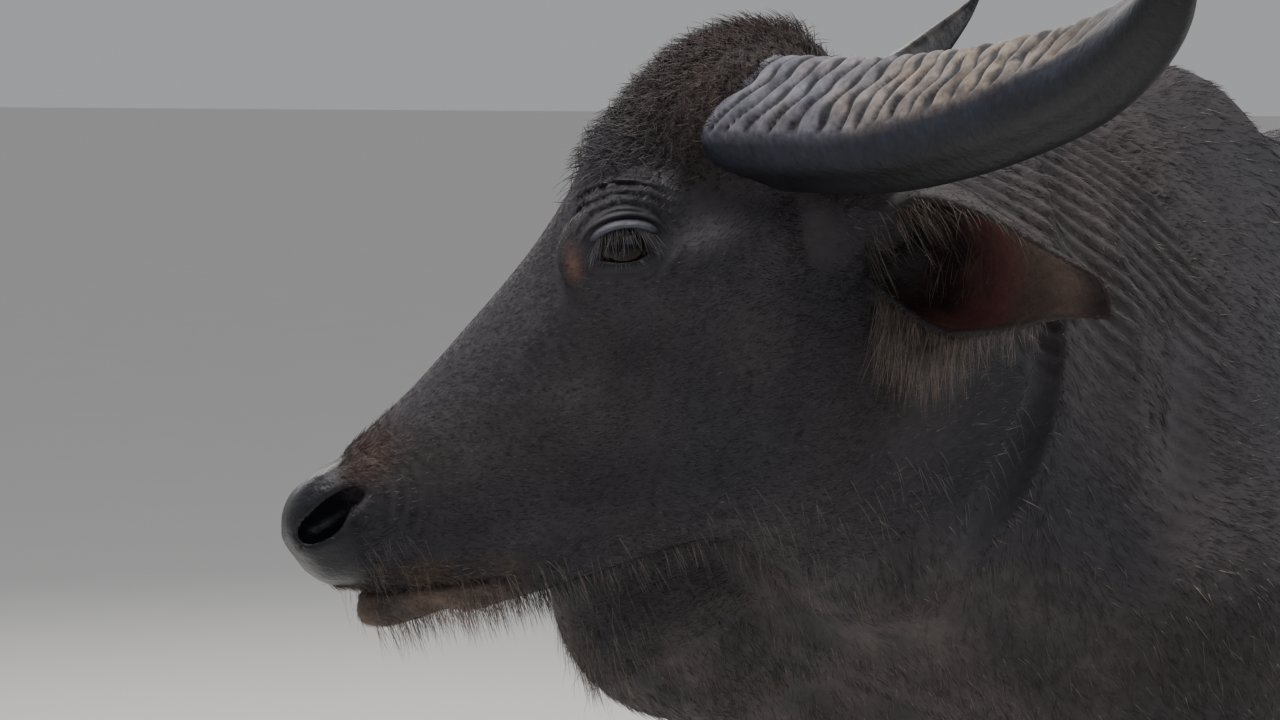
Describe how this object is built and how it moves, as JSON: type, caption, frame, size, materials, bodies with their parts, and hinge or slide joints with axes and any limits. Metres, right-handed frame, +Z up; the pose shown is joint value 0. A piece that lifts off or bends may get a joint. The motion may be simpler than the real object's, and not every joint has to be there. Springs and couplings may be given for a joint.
{
  "type": "water buffalo model",
  "caption": "Life-size standing water buffalo with its head turned to its right, swept-back horns, hanging tail and cloven hooves flat on the ground",
  "frame": {"origin": "the middle of the object's bounding box, on the ground under the soles", "axes": "+X towards the animal's front, +Y towards its left side, +Z up"},
  "size_m": [2.1184, 0.7794, 1.4211],
  "materials": {
    "hide": "matte, short sparse hair",
    "horn": "ridged, dusty",
    "hoof": "dull",
    "eye": "wet gloss"
  },
  "bodies": {
    "root": {"torso": "hide", "neck": "hide", "head": "hide", "ear_left": "hide", "ear_right": "hide", "foreleg_left": "hide", "foreleg_right": "hide", "hindleg_left": "hide", "hindleg_right": "hide", "tail": "hide", "horn_left": "horn", "horn_right": "horn", "eye_left": "eye", "eye_right": "eye", "hoof_foreleg_left_outer": "hoof", "hoof_foreleg_left_inner": "hoof", "hoof_foreleg_right_outer": "hoof", "hoof_foreleg_right_inner": "hoof", "hoof_hindleg_left_outer": "hoof", "hoof_hindleg_left_inner": "hoof", "hoof_hindleg_right_outer": "hoof", "hoof_hindleg_right_inner": "hoof"}
  },
  "joints": []
}
